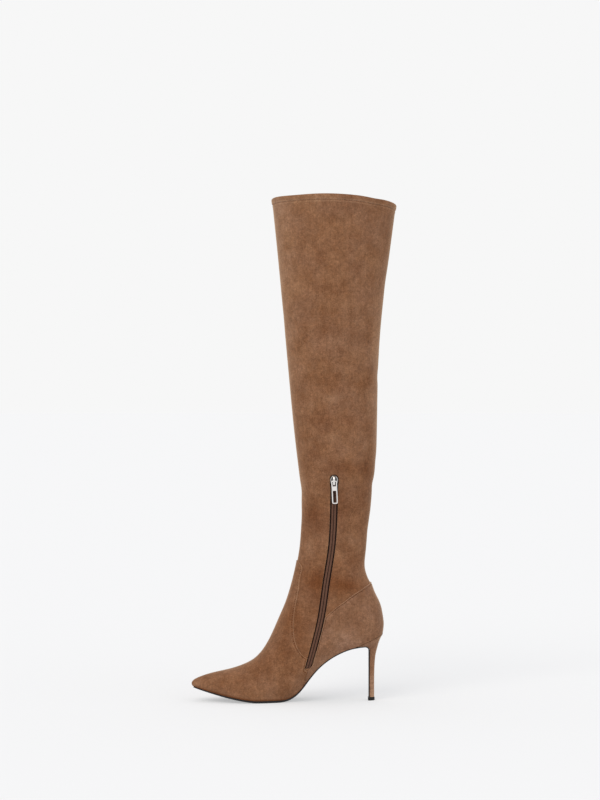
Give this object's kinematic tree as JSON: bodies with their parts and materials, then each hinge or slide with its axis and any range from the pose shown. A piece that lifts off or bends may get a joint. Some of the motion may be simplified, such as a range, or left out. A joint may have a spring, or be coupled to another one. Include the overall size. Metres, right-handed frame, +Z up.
{
  "type": "thigh-high stiletto boot",
  "caption": "Thigh-high pointed-toe suede stiletto boot for the right foot: tapered hollow shaft, half-length inner zip with a swinging pull tab, thin black sole and slender covered heel.",
  "frame": {"origin": "on the ground under the middle of the boot's outline, with the boot standing on its forefoot and heel", "axes": "+Z up, -X towards the toe, +X towards the heel, -Y towards the inner side with the zip"},
  "size_m": [0.2547, 0.127, 0.6286],
  "materials": {
    "suede": "brown suede with a soft nap",
    "lining": "smooth beige lining",
    "sole_leather": "black, satin",
    "top_piece": "black, matt",
    "zip_tape": "dark brown woven tape",
    "zip_teeth": "dark brown coil",
    "nickel": "polished nickel"
  },
  "bodies": {
    "boot": {"upper": "suede", "vamp": "suede", "counter": "suede", "heel": "suede", "insole": "lining", "outsole": "sole_leather", "heel_tip": "top_piece", "zip_tape": "zip_tape", "zip_teeth": "zip_teeth", "zip_slider": "nickel"},
    "pull_tab": {"zip_pull": "nickel"}
  },
  "joints": [
    {"name": "pull_hinge", "type": "hinge", "parent": "boot", "child": "pull_tab", "pos_m": [0.04973, -0.04318, 0.27554], "axis": [-1, 0, 0], "range_deg": [-5, 165]}
  ]
}
